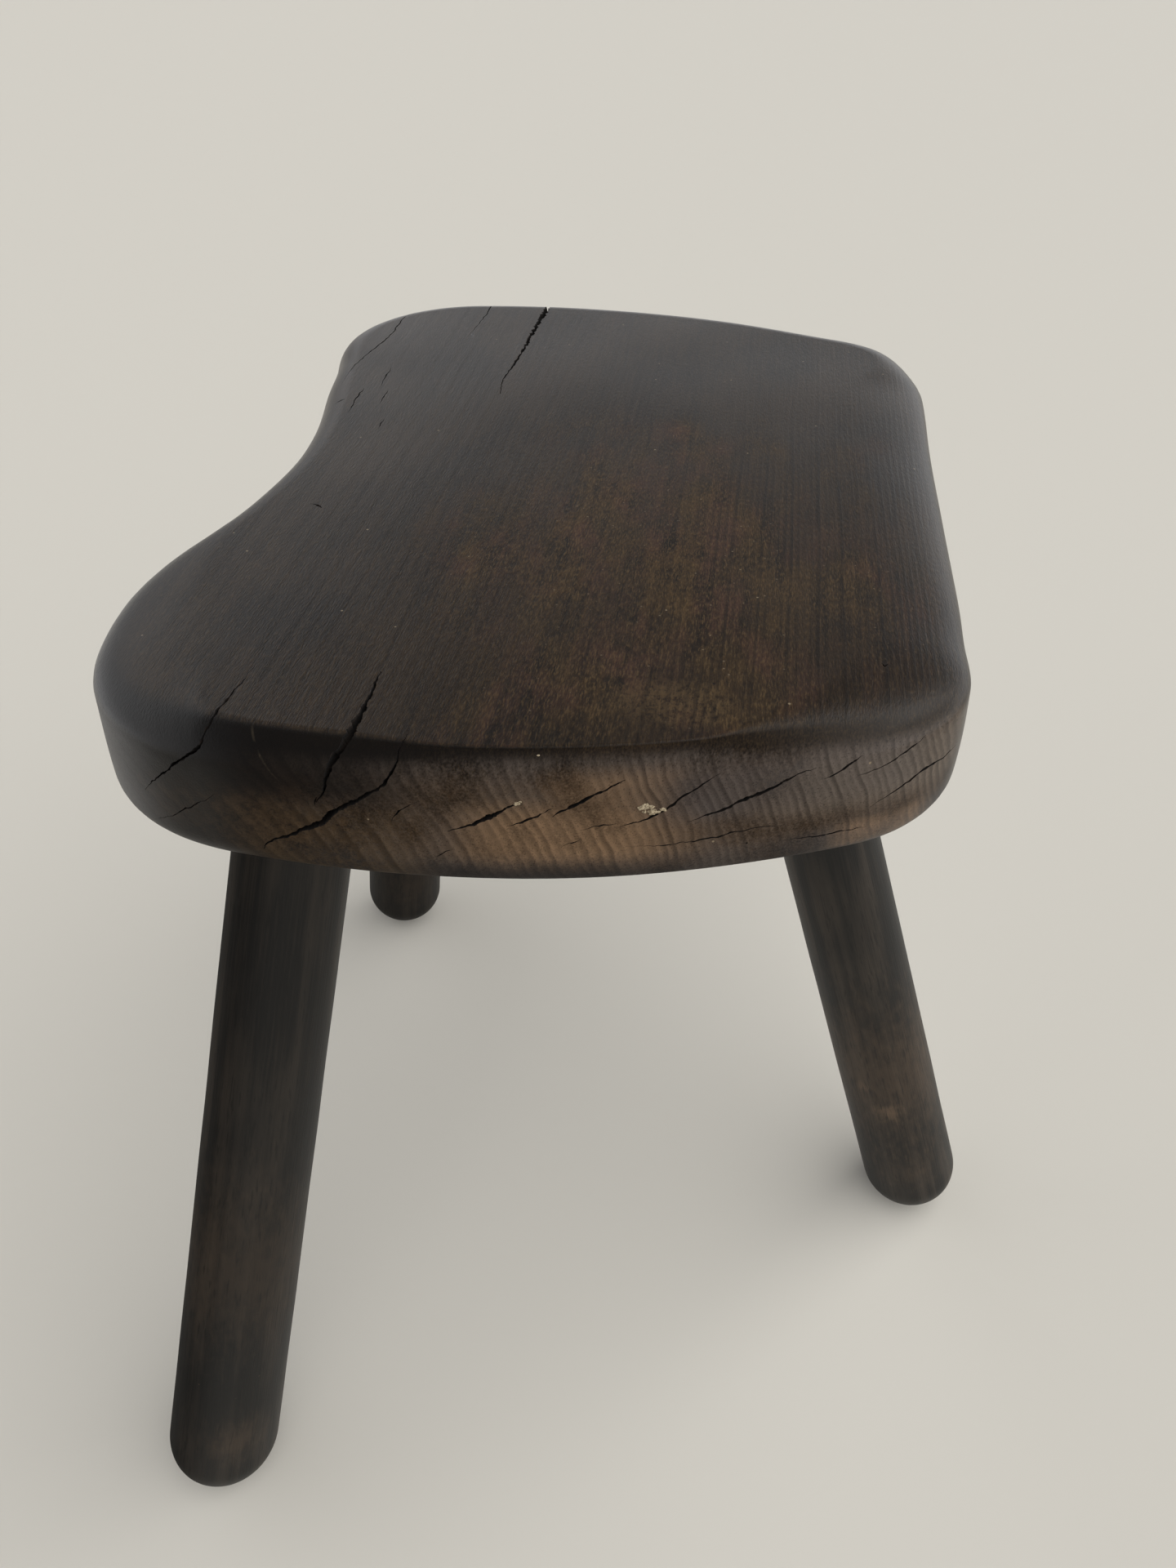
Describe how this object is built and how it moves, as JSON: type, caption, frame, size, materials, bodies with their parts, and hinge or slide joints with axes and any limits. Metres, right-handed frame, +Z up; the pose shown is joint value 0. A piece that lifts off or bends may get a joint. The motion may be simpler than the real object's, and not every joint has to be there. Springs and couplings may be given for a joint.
{
  "type": "tripod stool",
  "caption": "Low wooden tripod stool: a thick kidney-shaped slab seat with rounded edges on splayed round legs that taper up from ball feet into blind wedged tenons.",
  "frame": {"origin": "on the floor, under the middle of the stool's bounding box", "axes": "+Z up, +Y along the seat's grain from the near end to the far end, +X towards the seat's straight side"},
  "size_m": [0.392, 0.4264, 0.4265],
  "materials": {
    "seat_wood": "dark stain under worn wax, satin",
    "leg_wood": "near-black stain under wax, satin",
    "wedge_wood": "bare hardwood, hidden in the joint"
  },
  "bodies": {
    "root": {"seat": "seat_wood", "near_leg": "leg_wood", "side_leg": "leg_wood", "far_leg": "leg_wood", "near_leg_wedge": "wedge_wood", "side_leg_wedge": "wedge_wood", "far_leg_wedge": "wedge_wood"}
  },
  "joints": []
}
